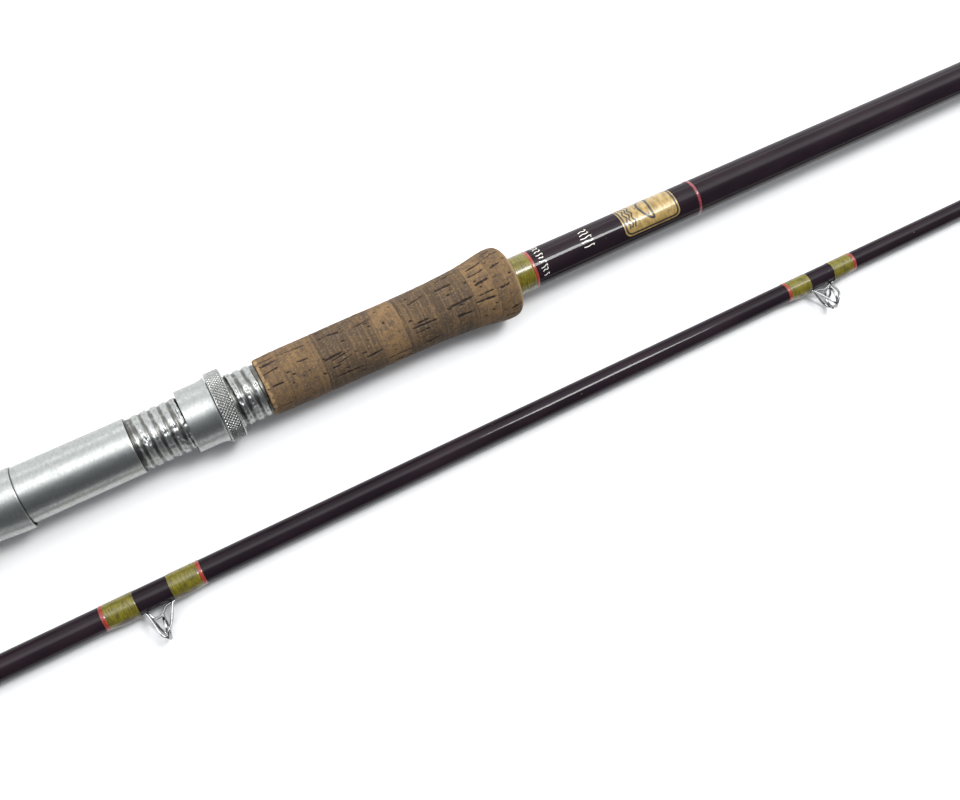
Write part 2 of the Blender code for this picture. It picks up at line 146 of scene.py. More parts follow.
def add_object(name, data):
    """A new object in the scene."""
    added = bpy.data.objects.new(name, data)
    bpy.context.scene.collection.objects.link(added)
    return added


def finish_piece(name, data, place, body, material, nodes=()):
    """Puts a mesh or curve at a section's start, or at a matrix, in place of the CAD nodes."""
    piece = add_object(name, data)
    if isinstance(place, Matrix):
        piece.matrix_world = place
    else:
        piece.location = SECTIONS[place]
    data.materials.append(material)
    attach(piece, body)
    if nodes:
        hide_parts(*nodes)


def mesh_from(name, points, faces, marks=None, sharp=40):
    """A smooth-shaded mesh from points in millimetres, carrying a value of each mark per point."""
    mesh = bpy.data.meshes.new(name)
    mesh.from_pydata((np.asarray(points) * MM).tolist(), [], faces)
    for mark, values in (marks or {}).items():
        layer = mesh.attributes.new(mark, "FLOAT", "POINT")
        layer.data.foreach_set("value", np.asarray(values, np.float32).ravel())
    mesh.shade_smooth()
    mesh.set_sharp_from_angle(angle=math.radians(sharp))
    return mesh


def ring_faces(rows, sides):
    """Quads of a closed tube of rows round the axis, facing out."""
    i, j = np.meshgrid(np.arange(rows), np.arange(sides), indexing="ij")
    k, n = (i + 1) % rows, (j + 1) % sides
    corners = [i * sides + j, i * sides + n, k * sides + n, k * sides + j]
    return np.stack(corners, -1).reshape(-1, 4).tolist()


def skin_points(x, angle, radius):
    """The points at each x, angle and radius about the axis."""
    return np.stack([x, -radius * np.sin(angle), radius * np.cos(angle)], -1).reshape(-1, 3)


def turned_mesh(name, x, angle, radius, bore, marks=None, sharp=40, back=(-1, 0)):
    """A tube: its outside from arrays of x, angle and radius, then its bore, which is a number, a
    pair for the two ends, or an array like the radius, drawn at the rows in back."""
    if not isinstance(bore, np.ndarray):
        rear, front = bore if isinstance(bore, tuple) else (bore, bore)
        bore = np.linspace(rear, front, len(x))[:, None] + 0 * x
    back = list(back)
    radius = np.concatenate([radius, bore[back]])
    x, angle = np.concatenate([x, x[back]]), np.concatenate([angle, angle[back]])
    full = {mark: np.concatenate([value, value[back]]) for mark, value in (marks or {}).items()}
    return mesh_from(name, skin_points(x, angle, radius), ring_faces(*x.shape), full, sharp)


def turned_piece(name, skin, bore, body, slot, material, node, *looks, section=BUTT, **options):
    """A turned tube in place of a node; skin is its x, angle and radius."""
    mesh = turned_mesh(name, *skin, bore, *looks, **options)
    finish_piece(name, mesh, section, body, material, [node])


def edged(start, end, near, middle, far):
    """Places from start to end: near ones from the start, the middle, far ones from the end."""
    return np.concatenate([start + np.array(near), middle, end - np.array(far)])


def profile_radius(points, xs):
    """The radius at xs of a turned outline given by its (x, radius) points, with smooth joins."""
    places, radii = np.array(points, float).T
    slopes = np.gradient(radii, places)
    index = np.clip(np.searchsorted(places, xs) - 1, 0, len(places) - 2)
    width = places[index + 1] - places[index]
    t = np.clip((xs - places[index]) / width, 0, 1)
    rise = 2 * t**3 - 3 * t**2
    return (
        (rise + 1) * radii[index]
        + (t**3 - 2 * t**2 + t) * width * slopes[index]
        - rise * radii[index + 1]
        + (t**3 - t**2) * width * slopes[index + 1]
    )


def curve_through(points, steps=8):
    """A smooth line through the points (Catmull-Rom)."""
    points = [Vector(p) for p in points]
    ends = [2 * points[0] - points[1], *points, 2 * points[-1] - points[-2]]
    line = []
    for a, b, c, d in zip(ends, ends[1:], ends[2:], ends[3:]):
        for step in range(steps):
            t = step / steps
            line.append(
                0.5 * (2 * b + (c - a) * t + (2 * a - 5 * b + 4 * c - d) * t**2
                       + (3 * b - a - 3 * c + d) * t**3)
            )
    return [*line, points[-1]]


# ---------------------------------------------------------------- materials


EVEN = (1, 1, 1)


def add_node(tree, kind, **inputs):
    """A shader node. Each input, its name's spaces written _, is a value or an output to link."""
    node = tree.nodes.new("ShaderNode" + kind)
    for name, value in inputs.items():
        put(tree, value, node.inputs[name.replace("_", " ")])
    return node


def put(tree, value, socket):
    """Links an output to a socket, or sets the socket to a value."""
    if isinstance(value, bpy.types.NodeSocket):
        tree.links.new(value, socket)
    else:
        socket.default_value = value


def add_math(tree, operation, a, b):
    node = add_node(tree, "Math")
    node.operation = operation
    put(tree, a, node.inputs[0])
    put(tree, b, node.inputs[1])
    return node.outputs[0]


class Finish:
    """A procedural material being made: constants on its shader, then nodes that feed it."""

    def __init__(self, name, **constants):
        self.material = bpy.data.materials.new(name)
        self.material.use_nodes = True
        self.tree = self.material.node_tree
        self.shader = self.tree.nodes["Principled BSDF"]
        for name, value in constants.items():
            self.feed(name.replace("_", " "), value)
        place = add_node(self.tree, "TexCoord").outputs["Object"]
        self.place = self.scaled(place, (1 / MM, 1 / MM, 1 / MM))

    def scaled(self, vector, scale):
        return add_node(self.tree, "Mapping", Vector=vector, Scale=scale).outputs["Vector"]

    def noise(self, size, stretch=EVEN, detail=4.0, roughness=0.55):
        """Noise whose features are about size millimetres, times stretch along each axis."""
        place = self.scaled(self.place, tuple(1 / (size * s) for s in stretch))
        noise = add_node(self.tree, "TexNoise", Vector=place, Scale=1.0, Detail=detail,
                         Roughness=roughness)
        return noise.outputs["Fac"]

    def mark(self, name):
        """A value that the mesh carries at its points."""
        mark = add_node(self.tree, "Attribute")
        mark.attribute_name = name
        return mark.outputs["Fac"]

    def between(self, value, low, high, first=0.0, last=1.0):
        """Turns value from low to high into first to last, and holds it there."""
        node = add_node(self.tree, "MapRange", Value=value, From_Min=low, From_Max=high,
                        To_Min=first, To_Max=last)
        node.interpolation_type = "SMOOTHSTEP"
        return node.outputs["Result"]

    def mix(self, share, first, second):
        """A colour from first to second as share goes from 0 to 1."""
        node = add_node(self.tree, "Mix", Factor=share)
        node.data_type = "RGBA"
        for socket, colour in ((node.inputs[6], first), (node.inputs[7], second)):
            put(self.tree, (*colour, 1.0) if isinstance(colour, tuple) else colour, socket)
        return node.outputs[2]

    def blend(self, value, low, high, first, second, most=1.0):
        """A colour from first towards second as value goes from low to high, by most at the end."""
        return self.mix(self.between(value, low, high, 0.0, most), first, second)

    def feed(self, socket, value):
        put(self.tree, value, self.shader.inputs[socket])

    def bump(self, height, depth, below=None, coat=False):
        """Raises the surface by height times depth, in millimetres."""
        node = add_node(self.tree, "Bump", Strength=1.0, Distance=depth * MM, Height=height)
        if below is not None:
            self.tree.links.new(below, node.inputs["Normal"])
        self.feed("Coat Normal" if coat else "Normal", node.outputs["Normal"])
        return node.outputs["Normal"]


def blank_finish():
    """Very dark aubergine glass fibre under a clear gloss varnish."""
    made = Finish("blank_varnish", Roughness=0.38, Specular_IOR_Level=0.0, Coat_Weight=0.5,
                  Coat_Roughness=0.05, Coat_IOR=1.4)
    cloud = made.noise(7.0, (4, 1, 1))
    colour = made.blend(cloud, 0.35, 0.7, (0.011, 0.007, 0.010), (0.018, 0.011, 0.015))
    weave = made.noise(0.5, EVEN, 2.0)
    colour = made.blend(weave, 0.62, 0.8, colour, (0.05, 0.02, 0.03), 0.25)
    speck = made.noise(0.9, EVEN, 1.0)
    colour = made.blend(speck, 0.8, 0.84, colour, (0.45, 0.42, 0.4), 0.7)
    made.feed("Base Color", colour)
    wear = made.noise(14.0, (3, 1, 1))
    made.feed("Roughness", made.between(wear, 0.3, 0.75, 0.3, 0.5))
    made.bump(made.noise(1.6, (3, 1, 1), 3.0), 0.012, coat=True)
    return made.material


def thread_finish(name, dark, light, brown):
    """Silk thread, fine turns side by side, soaked in varnish; darker where it hides a foot."""
    made = Finish(name, Roughness=0.5, Specular_IOR_Level=0.2, Coat_Weight=0.9,
                  Coat_Roughness=0.13, Coat_IOR=1.5)
    streak = made.noise(0.2, (1, 18, 18), 2.0)
    cloud = made.noise(2.2, (1.2, 1, 1), 4.0, 0.6)
    colour = made.blend(streak, 0.3, 0.72, dark, light)
    colour = made.blend(cloud, 0.48, 0.70, colour, dark, 0.8)
    foot = add_math(made.tree, "MULTIPLY", made.mark("foot"), made.between(cloud, 0.34, 0.50))
    colour = made.blend(foot, 0.2, 0.8, colour, brown, 0.92)
    made.feed("Base Color", colour)
    made.bump(streak, 0.03)
    made.bump(made.noise(0.9, (1.5, 1, 1), 3.0), 0.03, coat=True)
    return made.material


def aluminium_finish(name, low_roughness, high_roughness, grime_and_shade_share=0.0):
    """Old satin aluminium: scuffs that run round it, fine scratches, grime and painted shade in the
    hollows.
    """
    made = Finish(name, Metallic=1.0)
    cloud = made.noise(0.9, (1, 2.2, 2.2), 6.0, 0.7)
    colour = made.blend(cloud, 0.3, 0.7, (0.34, 0.35, 0.342), (0.455, 0.465, 0.453))
    stain = made.noise(1.4, (1.6, 1, 1), 5.0, 0.7)
    colour = made.blend(stain, 0.56, 0.78, colour, (0.22, 0.225, 0.215), 0.4)
    # Hollows marked on the mesh are darkened: partly grime, partly painted shade.
    if grime_and_shade_share:
        colour = made.blend(made.mark("hollow"), 0.35, 0.95, colour, (0.080, 0.075, 0.066), grime_and_shade_share)
    made.feed("Base Color", colour)
    made.feed("Roughness", made.between(cloud, 0.25, 0.75, high_roughness, low_roughness))
    turning = made.noise(0.12, (1, 40, 40), 2.0)
    scratch = made.noise(0.22, (14, 1, 1), 3.0)
    below = made.bump(turning, 0.0015)
    below = made.bump(scratch, 0.002, below)
    made.bump(cloud, 0.012, below)
    return made.material


def cork_finish():
    """Worn natural cork: a tone for each ring, dark pores, sanding lines and hand grime."""
    made = Finish("cork", Roughness=0.8, Specular_IOR_Level=0.3)
    colour = made.mix(made.mark("tone"), (0.060, 0.039, 0.022), (0.190, 0.114, 0.050))
    cloud = made.noise(3.0, (1.3, 1, 1), 6.0, 0.68)
    colour = made.blend(cloud, 0.44, 0.66, colour, (0.062, 0.044, 0.033), 0.75)
    grain = made.noise(0.8, (1.2, 1, 1), 5.0, 0.75)
    colour = made.blend(grain, 0.52, 0.70, colour, (0.30, 0.188, 0.090), 0.7)
    colour = made.mix(made.between(grain, 0.34, 0.46, 0.55, 0.0), colour, (0.040, 0.027, 0.021))
    sanding = made.noise(0.3, (1, 16, 16), 3.0, 0.6)
    colour = made.blend(sanding, 0.48, 0.72, colour, (0.045, 0.029, 0.020), 0.6)
    colour = made.blend(made.mark("turning"), 0.5, 0.8, colour, (0.24, 0.150, 0.075), 0.25)
    colour = made.blend(made.mark("fresh"), 0.0, 1.0, colour, (0.36, 0.235, 0.115), 0.75)
    colour = made.blend(made.mark("pore"), 0.15, 0.8, colour, (0.016, 0.010, 0.009), 0.95)
    made.feed("Base Color", colour)
    below = made.bump(sanding, 0.06)
    made.bump(grain, 0.10, below)
    return made.material


def clouded_finish(name, cloud, span, colours, rough=None, bump=None, **constants):
    """Two colours mixed by one cloud, a roughness that follows it, and a bump from a finer noise,
    or from the cloud itself where the bump has no noise of its own."""
    made = Finish(name, **constants)
    cloud = made.noise(*cloud)
    made.feed("Base Color", made.blend(cloud, *span, *colours))
    if rough:
        made.feed("Roughness", made.between(cloud, *rough))
    if bump:
        grain, depth = bump
        made.bump(made.noise(*grain) if grain else cloud, depth)
    return made.material


def ink(name, colour, worn):
    """Ink or print on the blank, a little uneven."""
    return clouded_finish(name, (0.5, EVEN, 3.0), (0.45, 0.8), (colour, worn), Roughness=0.45,
                          Coat_Weight=0.6, Coat_Roughness=0.1)


BLANK = blank_finish()
THREAD = thread_finish("olive_thread", (0.055, 0.046, 0.003), (0.21, 0.177, 0.007),
                       (0.045, 0.024, 0.010))
RED_THREAD = thread_finish("red_thread", (0.15, 0.014, 0.009), (0.37, 0.047, 0.024),
                           (0.15, 0.015, 0.012))
BAND_THREAD = thread_finish("red_band_thread", (0.13, 0.014, 0.02), (0.31, 0.048, 0.062),
                            (0.12, 0.01, 0.015))
BARREL = aluminium_finish("satin_aluminium", 0.26, 0.42, 0.85)
HOOD = aluminium_finish("worn_aluminium", 0.30, 0.42)
KNURL = aluminium_finish("knurled_aluminium", 0.2, 0.34, 0.9)
CORK = cork_finish()
# Bright plated wire, a little dulled.
CHROME = clouded_finish("plated_wire", (1.2,), (0.45, 0.8),
                        ((0.42, 0.43, 0.43), (0.20, 0.20, 0.19)), (0.3, 0.8, 0.10, 0.30),
                        ((0.3, EVEN, 2.0), 0.006), Metallic=1.0)
# A gold transfer under varnish, rubbed in places.
GOLD = clouded_finish("gold_transfer", (1.5, (1, 2.5, 2.5), 5.0, 0.65), (0.3, 0.7),
                      ((0.19, 0.12, 0.035), (0.43, 0.30, 0.10)), (0.3, 0.7, 0.42, 0.26),
                      ((0.5, EVEN, 3.0), 0.02), Metallic=0.15, Coat_Weight=0.6,
                      Coat_Roughness=0.08)
BLACK_INK = ink("black_print", (0.012, 0.010, 0.008), (0.05, 0.035, 0.02))
WHITE_INK = ink("white_ink", (0.78, 0.76, 0.70), (0.42, 0.38, 0.34))
# Dull black rubber with dust on it.
RUBBER = clouded_finish("rubber", (2.0, EVEN, 5.0, 0.7), (0.45, 0.8),
                        ((0.018, 0.018, 0.018), (0.075, 0.07, 0.065)), (0.3, 0.8, 0.55, 0.85),
                        ((0.4, EVEN, 3.0), 0.05), Specular_IOR_Level=0.35)
# Pressed fibre, for the arbor inside the seat.
FIBRE = clouded_finish("fibre", (0.4, (10, 1, 1), 3.0), (0.35, 0.7),
                       ((0.16, 0.10, 0.05), (0.30, 0.21, 0.12)), None, (None, 0.05),
                       Roughness=0.75)


# ---------------------------------------------------------------- pieces


def make_blank(section, node, sides=96):
    """A section's tapered tube, open at both ends."""
    start, end = stretch_of(node, section)
    xs = np.arange(start, end, 6.0)
    xs = np.concatenate([[start], [start + 0.15], xs[1:], [end - 0.15, end]])
    x, angle = grid(xs, sides)
    radius = blank_radius(section, x)
    radius[[0, -1]] -= 0.15
    wall, tip_bore = 1.1, 0.55
    bores = (SOCKET_BORE, tip_bore)
    if section == BUTT:
        bores = (radius[0, 0] - wall, SOCKET_BORE)
    turned_piece(node + "_tube", (x, angle, radius), bores, section, "blank", BLANK, node,
                 section=section)


def make_spigot():
    """The spigot: a slim rod in the butt section's end, with a rounded tip."""
    start, end = stretch_of("spigot", BUTT)
    xs = np.concatenate([[start, start + 0.3], np.linspace(start + 1, end - 1.2, 30),
                         end - 1 + np.linspace(0, 1, 8)])
    x, angle = grid(xs, 64)
    shoulder = SECTION_LENGTH
    slim = 3.7 - 0.25 * smooth((x - shoulder) / (end - shoulder))
    edge = np.clip((x - end + 1.0) / 1.0, 0, 1)
    radius = slim - 0.6 * (1 - np.sqrt(1 - edge**2))
    turned_piece("spigot_rod", (x, angle, radius), 0.2, BUTT, "blank", BLANK, "spigot")


def cork_pores(x, angle, radius, edges, seed):
    """How deep in a pore each point is, 0 to 1: long ones that stop at the rings' joints, and
    many small ones."""
    chance = np.random.default_rng(seed)
    depth = np.zeros_like(x)
    wobble = surface_noise(x, angle, radius, 1.6, seed + 5, 1.0, 3) - 0.5
    fine = surface_noise(x, angle, radius, 0.7, seed + 9, 1.0, 2) - 0.5
    for first, last in zip(edges, edges[1:]):
        count = int((last - first) * 2.6)
        for kind in range(count):
            long = kind < 0.42 * count
            reach = chance.uniform(2.0, 7.0) if long else chance.uniform(0.3, 1.1)
            width = chance.uniform(0.22, 0.62) if long else chance.uniform(0.15, 0.4)
            reach = min(reach, 0.47 * (last - first))
            middle = chance.uniform(first + 0.9 * reach, last - 0.9 * reach)
            turn = chance.uniform(0, TURN)
            lean = chance.normal(0, 0.07)
            rows = np.where(np.abs(x[:, 0] - middle) < reach * 1.5)[0]
            if not len(rows):
                continue
            part = slice(rows[0], rows[-1] + 1)
            along = x[part] - middle
            across = apart(angle[part], turn) * radius - lean * along
            away = np.sqrt((along / reach) ** 4 + (across / width) ** 2)
            away = away + 1.3 * wobble[part] + 0.8 * fine[part]
            away = away + 4.0 * ((x[part] < first) | (x[part] > last))
            depth[part] = np.maximum(depth[part], smooth((1.0 - away) / 0.5))
    return depth


def make_grip(node, outline, seed, joints, rim_length, step=0.3, sides=288):
    """A cork grip glued up from rings, sanded, chipped and dark with use."""
    start, end = stretch_of(node, BUTT)
    inset = 0.03
    xs = np.arange(start + 0.6, end - 0.6, step)
    xs = edged(start + inset, end - inset, (0.0, 0.15, 0.35), xs, (0.35, 0.15, 0.0))
    x, angle = grid(xs, sides)
    outline = [(start + at, radius) for at, radius in outline]
    base = profile_radius(outline, x)
    base[0] -= 0.45
    base[1] -= 0.15
    if rim_length == 0:
        base[-1] -= 0.45
        base[-2] -= 0.15
    local = x - start
    mean = float(np.mean(base))
    edges = np.array([0.0, *joints, end - start])
    # Each joint wanders a little round the grip.
    wander = 0.5 * (surface_noise(x * 0 + x.min(), angle, mean, 9.0, seed + 20, 1.0, 2) - 0.5)
    number = np.searchsorted(edges, (local + wander).ravel()).reshape(x.shape)
    tones = np.random.default_rng(seed).random(len(edges) + 2)
    tone = 0.08 + 0.84 * tones[number]
    tone = tone + 0.7 * (surface_noise(x, angle, mean, 6.0, seed + 30, 0.9) - 0.5)
    pore = cork_pores(x, angle, mean, start + edges, seed)
    away = np.min([np.abs(local + wander - joint) for joint in joints], axis=0)
    joint = smooth(1 - away / 0.38) * (0.55 + 0.45 * surface_noise(x, angle, mean, 5.0, seed + 40))
    sag = surface_noise(x, angle, mean, 14.0, seed + 50, 1.0, 2) - 0.5
    rough = surface_noise(x, angle, mean, 1.0, seed + 60, 1.0, 3) - 0.5
    turning = surface_noise(x, angle, mean, 18.0, seed + 70, 0.03, 2) - 0.5
    radius = base + 0.22 * sag + 0.10 * rough + 0.10 * turning - 0.45 * pore - 0.10 * joint - 0.08
    rim = smooth((local - (end - start - rim_length)) / 2.5) if rim_length else 0 * local
    # The rear edge of the fore grip is crumbly and shows fresh cork.
    crumb = smooth(1 - (local - 0.6) / 2.6) * surface_noise(x, angle, mean, 1.6, seed + 80)
    if rim_length:
        radius = radius - 0.5 * smooth(1 - local / 1.2) * (crumb > 0.55) * crumb
    fresh = np.maximum(0.75 * rim, smooth((crumb - 0.25) / 0.4) if rim_length else 0)
    pore = np.maximum(pore, 0.7 * joint)
    fresh = fresh * (1 - 0.6 * rough)
    marks = {"tone": np.clip(tone, 0, 1), "pore": pore, "fresh": fresh, "turning": turning + 0.5}
    turned_piece(node + "_cork", (x, angle, radius), CORK_BORE, BUTT, "cork", CORK, node, marks, 75)


def make_grips():
    """Both cork grips, from their outlines and the places of their rings' joints."""
    start, end = stretch_of("fore_grip", BUTT)
    flare = radius_of("fore_grip")
    shape = [(0.0, 11.45), (4.0, 11.65), (22.0, 11.85), (58.0, 11.95), (66.0, 12.0), (74.0, 12.2)]
    shape += [(82.5, 12.65), (88.7, 13.15), (94.9, 14.05), (99.1, 14.75), (102.4, flare)]
    shape += [(104.6, 14.8), (106.2, 14.0), (107.2, 12.6), (end - start, 9.6)]
    joints = (9.0, 23.6, 38.4, 47.5, 58.0, 73.0, 87.8, 97.0)
    make_grip("fore_grip", shape, 11, joints, 3.4)
    start, end = stretch_of("rear_grip", BUTT)
    shape = [(0.0, 13.3), (40.0, 13.2), (170.0, 12.5), (end - start - 12, 12.2)]
    shape += [(end - start, 11.7)]
    joints = np.arange(14.8, end - start - 5, 14.8)
    make_grip("rear_grip", shape, 47, joints, 0, step=0.7, sides=160)


def make_button():
    """The rubber button on the butt, with a round corner and five grooves."""
    end = stretch_of("butt_button", BUTT)[1]
    top = radius_of("butt_button")
    corner = 3.4
    around = np.linspace(0, math.pi / 2, 10)
    xs = np.concatenate([corner * (1 - np.cos(around)), np.arange(corner + 0.4, end - 2.0, 0.4),
                         end - np.linspace(1.8, 0, 8)])
    x, angle = grid(xs, 96)
    inward = corner - corner * np.sqrt(np.clip(1 - (np.clip(corner - x, 0, corner) / corner) ** 2,
                                               0, 1))
    front = np.clip((x - (end - 1.8)) / 1.8, 0, 1)
    groove = sum(smooth(1 - np.abs(x - at) / 0.5) for at in (9.0, 12.0, 15.0, 18.0, 21.0))
    radius = top - inward - 1.1 * (1 - np.sqrt(1 - front**2)) - 0.45 * groove
    radius += 0.12 * (surface_noise(x, angle, top, 3.0, 81) - 0.5) - 0.07
    radius[0] = min(11.5, radius[0, 0])
    turned_piece("rubber_button", (x, angle, radius), (0.02, CORK_BORE), BUTT, "rubber", RUBBER,
                 "butt_button", None, 50)


THREAD_PITCH = 3.7
THREAD_START = 395.3
CREST, ROOT = 10.75, 10.0
BARREL_RADIUS, BARREL_SEAT_RADIUS, BARREL_BORE = 11.1, 10.5, 9.2
ARBOR_RADIUS = 8.9
FIXED_HOOD_RADIUS, FIXED_HOOD_BORE, POCKET_RISE = 11.6, 10.8, 1.15
SLIDING_HOOD_RADIUS, SLIDING_BORE, COLLAR_LENGTH = 12.5, 11.6, 4.8
KNURL_RADIUS = 14.17


def make_barrel():
    """The seat's barrel: a smooth stretch, a seam, then a rounded right-hand thread, worn."""
    start, end = stretch_of("reel_seat_barrel", BUTT)
    mouth = stretch_of("fixed_hood", BUTT)[1]
    smooth_xs = np.concatenate([[start, mouth + 0.04, mouth + 0.12],
                                np.arange(mouth + 1.0, THREAD_START - 1.2, 1.0)])
    seam_xs = THREAD_START + np.array([-0.75, -0.62, -0.5, -0.4, -0.2, 0.0, 0.1])
    xs = np.concatenate([smooth_xs, seam_xs, np.arange(THREAD_START + 0.25, end, 0.17), [end]])
    x, angle = grid(xs, 144)
    wave = 0.5 + 0.5 * np.cos(TURN * (x / THREAD_PITCH - angle / TURN))
    fade = smooth((x - THREAD_START - 0.1) / 2.2) * smooth((end - x) / 1.5)
    ridge = smooth(0.12 + 1.0 * wave) * fade
    # Wear has left a shallow groove along the crest.
    ridge = ridge - 0.38 * fade * smooth((wave - 0.80) / 0.18)
    dents = surface_noise(x, angle, 11.0, 1.5, 91, 1.0, 3)
    thread = ROOT + (CREST - ROOT) * ridge - 0.40 * fade * smooth((dents - 0.50) / 0.25) * wave
    plain = np.where(x < mouth + 0.08, BARREL_SEAT_RADIUS, BARREL_RADIUS)
    plain = plain + 0.04 * (surface_noise(x, angle, 11.0, 8.0, 92) - 0.5)
    seam = smooth(1 - np.abs(x - THREAD_START + 0.4) / 0.3)
    radius = np.where(x < THREAD_START, plain - 0.45 * seam, thread)
    # The thread's roots and the seam are darkened, partly as grime and partly as painted shade.
    hollow = np.where(x < THREAD_START, seam, (1 - ridge) * (0.55 + 0.9 * (1 - dents)))
    # The narrow dark band at the hood's mouth is a painted shadow of the gap under the hood.
    hollow = np.maximum(hollow, smooth(1 - np.abs(x - mouth - 0.1) / 0.3))
    turned_piece("seat_barrel", (x, angle, radius), BARREL_BORE, BUTT, "reel_seat", BARREL,
                 "reel_seat_barrel", {"hollow": hollow}, 60)
    arbor_start, arbor_end = stretch_of("reel_seat_arbor", BUTT)
    x, angle = grid(np.linspace(arbor_start, arbor_end, 20), 64)
    turned_piece("seat_arbor", (x, angle, x * 0 + ARBOR_RADIUS), CORK_BORE, BUTT, "arbor", FIBRE,
                 "reel_seat_arbor")


def lip(x, end, reach):
    """How far a rounded edge that ends at end has fallen, from 0 to reach."""
    near = np.clip(1 - np.abs(x - end) / reach, 0, 1)
    return reach * (1 - np.sqrt(1 - near**2))


def make_fixed_hood():
    """The fixed hood: its pocket swells towards the mouth on the side that the guides are on."""
    start, end = stretch_of("fixed_hood", BUTT)
    xs = edged(start, end, (0, 0.1, 0.25, 0.4), np.arange(start + 1, end - 0.6, 0.6),
               (0.35, 0.22, 0.12, 0.05, 0.0))
    x, angle = grid(xs, 144)
    away = np.abs(apart(angle, GUIDE_ROLL[BUTT]))
    rise = smooth((x - start) / (end - start)) * smooth(1 - away / math.radians(62))
    radius = FIXED_HOOD_RADIUS + POCKET_RISE * rise - lip(x, end, 0.35) - lip(x, start, 0.35)
    radius = radius + 0.03 * (surface_noise(x, angle, 11.7, 5.0, 93) - 0.5)
    inner = FIXED_HOOD_BORE + POCKET_RISE * rise
    turned_piece("reel_hood", (x, angle, radius), inner, BUTT, "reel_seat", HOOD, "fixed_hood",
                 None, 50, range(len(x))[::-1])


def make_sliding_hood():
    """The sliding hood: a plain cup that flares to the collar that the ring pushes."""
    start, end = stretch_of("sliding_hood", BUTT)
    xs = edged(start, end, (0, 0.04, 0.1, 0.2, 0.3), np.arange(start + 0.8, end - 0.3, 0.25),
               (0.2, 0.1, 0.03, 0.0))
    x, angle = grid(xs, 144)
    flare = np.clip((x - (end - COLLAR_LENGTH)) / COLLAR_LENGTH, 0, 1) * 0.999
    radius = SLIDING_HOOD_RADIUS + 1.1 * (1 - np.sqrt(1 - flare**2.2)) - lip(x, start, 0.3)
    radius = radius + 0.035 * (surface_noise(x, angle, 12.3, 5.0, 94) - 0.5)
    turned_piece("sliding_cup", (x, angle, radius), SLIDING_BORE, "hood", "reel_seat", HOOD,
                 "sliding_hood", None, 50)


def make_locking_ring():
    """The locking ring, with a diamond knurl between two chamfers."""
    start, end = stretch_of("locking_ring", BUTT)
    teeth, pitch, depth = 62, 1.42, 0.6
    xs = edged(start, end, (0, 0.2, 0.42), np.arange(start + 0.5, end - 0.45, 0.125),
               (0.42, 0.2, 0.0))
    x, angle = grid(xs, teeth * 8)

    def ridge(value):
        return 1 - np.abs(2 * (value % 1.0) - 1)

    along, around = (x - start) / pitch, angle * teeth / TURN
    high = np.minimum(ridge(along + around), ridge(along - around))
    worn = 0.75 + 0.25 * surface_noise(x, angle, 13.0, 5.0, 95)
    band = smooth((x - start - 0.42) / 0.15) * smooth((end - 0.42 - x) / 0.15)
    pyramid = np.minimum(high * 1.35, worn)
    # The knurl's valleys are darkened, partly as grime and partly as painted shade.
    valley_grime_and_shade = (1 - pyramid) * band
    radius = KNURL_RADIUS - depth * (1 - pyramid) * band - np.clip(0.3 - (x - start), 0, 0.3)
    radius = radius - np.clip(0.45 - (end - x), 0, 0.45)
    turned_piece("knurled_ring", (x, angle, radius), SLIDING_BORE, "ring", "reel_seat", KNURL,
                 "locking_ring", {"hollow": valley_grime_and_shade}, 70)


WOUND_PITCH = 0.26
GRIP_TIPPING, JOINT_TIPPING = 1.5, 1.3
FOOT_RISE = 0.62


def winding(name, section, first, last, material, nodes=(), foot=None, sides=56, slot="winding"):
    """Thread wound side by side and varnished. foot gives the hump over a guide's foot."""
    count = max(int(round((last - first) / WOUND_PITCH)), 3)
    rows = np.linspace(0, count, count * 3 + 1)
    xs = first + (last - first) * rows / count
    xs = np.concatenate([[first + 0.001], xs[1:-1], [last - 0.001]])
    x, angle = grid(xs, sides)
    turns = 0.5 - 0.5 * np.cos(TURN * (x - first) / (last - first) * count)
    hump = foot(x, angle) if foot else 0 * x
    varnish = np.minimum(x - first, last - x)
    edge = 0.10 * smooth(1 - varnish / 0.35)
    radius = blank_radius(section, x) + 0.17 - edge + 0.02 * turns + hump
    hidden = np.clip(hump / 0.10, 0, 1)
    # The sleeve's inside follows the foot too, a little under its outside.
    inner = blank_radius(section, x) + 0.02 + hump * 0.9
    mesh = turned_mesh(name, x, angle, radius, inner, {"foot": hidden}, 60)
    finish_piece(name, mesh, section, section, material, nodes)


def foot_hump(inner_end, outward, length, roll):
    """The swelling of a winding over a foot that runs from inner_end under it."""

    def hump(x, angle):
        under = (x - inner_end) * outward / length
        fade = 1 - smooth((under - 0.45) / 0.45)
        away = np.abs(apart(angle, roll))
        return FOOT_RISE * fade * smooth(1 - away / math.radians(52))

    return hump


def make_windings():
    """The windings that hold no guide: grip, red band, both sides of the joint, and the tip."""
    first, last = stretch_of("grip_winding", BUTT)
    change = last - GRIP_TIPPING
    winding("grip_binding", BUTT, first - 0.2, change, THREAD, ["grip_winding"], sides=96)
    winding("grip_binding_tipping", BUTT, change, last - 0.2, RED_THREAD, sides=96)
    winding("red_binding", BUTT, *stretch_of("red_band", BUTT), BAND_THREAD, ["red_band"],
            sides=96, slot="red_winding")
    for node, section in (("spigot_winding", BUTT), ("socket_winding", TIP), ("tip_winding", TIP)):
        first, last = stretch_of(node, section)
        silk, red = (first + JOINT_TIPPING, last), (first, first + JOINT_TIPPING)
        if node == "socket_winding":
            silk, red = (first, last - JOINT_TIPPING), (last - JOINT_TIPPING, last)
        winding(node + "_silk", section, *silk, THREAD, [node])
        winding(node + "_tipping", section, *red, RED_THREAD)


def wires(name, section, paths, radius, nodes, place):
    """Round wires along smooth lines, as one piece."""
    data = bpy.data.curves.new(name, "CURVE")
    data.dimensions = "3D"
    data.bevel_depth = radius * MM
    data.bevel_resolution = 4
    data.use_fill_caps = True
    for path in paths:
        line = data.splines.new("POLY")
        places = curve_through(path)
        line.points.add(len(places) - 1)
        for point, at in zip(line.points, places):
            point.co = (*(at * MM), 1.0)
    finish_piece(name, data, place, section, CHROME, nodes)


